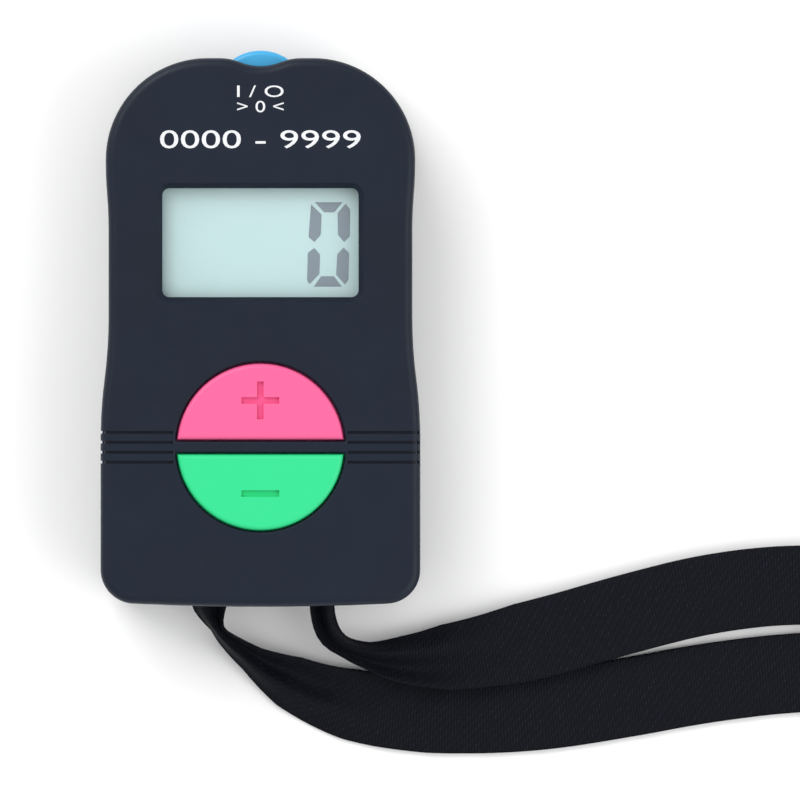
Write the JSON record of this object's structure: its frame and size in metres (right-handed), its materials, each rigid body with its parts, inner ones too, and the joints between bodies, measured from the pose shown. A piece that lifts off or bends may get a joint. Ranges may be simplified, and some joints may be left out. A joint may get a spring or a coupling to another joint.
{
  "type": "hand tally counter",
  "caption": "Palm-sized electronic tally counter: LCD in a black case, half-round plus and minus keys, reset button on the top edge and a woven neck ribbon from the bottom edge",
  "frame": {"origin": "under the middle of the counter without its ribbon, on the surface its flat back lies on", "axes": "+Z out of the front through the display and keys, +Y towards the reset button, +X to the right of the display"},
  "size_m": [0.211, 0.1109, 0.0162],
  "materials": {
    "case_black": "fine moulded satin texture",
    "key_pink": "satin moulded, slightly translucent",
    "key_green": "satin moulded, slightly translucent",
    "key_blue": "satin moulded",
    "lens_clear": "clear moulded acrylic",
    "lcd_glass": "ground edges",
    "polariser_film": "thin grey-green film",
    "reflector_film": "matt silvered film",
    "holder_white": "moulded",
    "zebra_rubber": "striped conductive elastomer",
    "board_green": "solder mask over copper tracks",
    "blob_epoxy": "cured epoxy drop",
    "chip_ceramic": "sintered",
    "resistor_black": "glazed film on alumina",
    "silicone_white": "moulded silicone",
    "carbon_pill": "conductive silicone",
    "switch_black": "moulded",
    "switch_steel": "stamped sheet",
    "cell_steel": "nickel-plated can",
    "contact_metal": "nickel-plated bronze",
    "screw_steel": "zinc plated",
    "ribbon_black": "woven polyester ribbon with fine crosswise ribs"
  },
  "bodies": {
    "case": {"front_shell": "case_black", "back_shell": "case_black", "display_window": "lens_clear", "front_polariser": "polariser_film", "lcd_front_glass": "lcd_glass", "lcd_rear_glass": "lcd_glass", "rear_reflector": "reflector_film", "zebra_upper": "zebra_rubber", "zebra_lower": "zebra_rubber", "lcd_holder": "holder_white", "circuit_board": "board_green", "chip_blob": "blob_epoxy", "chip_capacitors": "chip_ceramic", "chip_resistors": "resistor_black", "keypad_web": "silicone_white", "plus_dome": "silicone_white", "minus_dome": "silicone_white", "reset_switch_base": "switch_black", "reset_switch_cover": "switch_steel", "reset_switch_legs": "contact_metal", "button_cell": "cell_steel", "cell_contact_plus": "contact_metal", "cell_contact_minus": "contact_metal", "case_screws": "screw_steel", "board_screws": "screw_steel", "lanyard_neck_left": "ribbon_black", "lanyard_band_left": "ribbon_black", "lanyard_tab_left": "ribbon_black", "lanyard_neck_right": "ribbon_black", "lanyard_band_right": "ribbon_black", "lanyard_tab_right": "ribbon_black", "lanyard_coil": "ribbon_black"},
    "plus_key": {"plus_key": "key_pink", "plus_pill": "carbon_pill"},
    "minus_key": {"minus_key": "key_green", "minus_pill": "carbon_pill"},
    "reset_key": {"reset_key": "key_blue", "reset_switch_plunger": "switch_black"},
    "battery_door": {"battery_door": "case_black"}
  },
  "joints": [
    {"name": "plus_press", "type": "slide", "parent": "case", "child": "plus_key", "axis": [0, 0, -1], "range_m": [0, 0.0009], "stiffness_N_per_m": 1500, "springref_m": -0.0002, "deforming": ["plus_dome"]},
    {"name": "minus_press", "type": "slide", "parent": "case", "child": "minus_key", "axis": [0, 0, -1], "range_m": [0, 0.0009], "stiffness_N_per_m": 1500, "springref_m": -0.0002, "deforming": ["minus_dome"]},
    {"name": "reset_press", "type": "slide", "parent": "case", "child": "reset_key", "axis": [0, -1, 0], "range_m": [0, 0.0005], "stiffness_N_per_m": 3000, "springref_m": -0.0001},
    {"name": "battery_door_turn", "type": "hinge", "parent": "case", "child": "battery_door", "pos_m": [0, 0.0118, 0], "axis": [0, 0, 1], "range_deg": [-60, 0]}
  ]
}
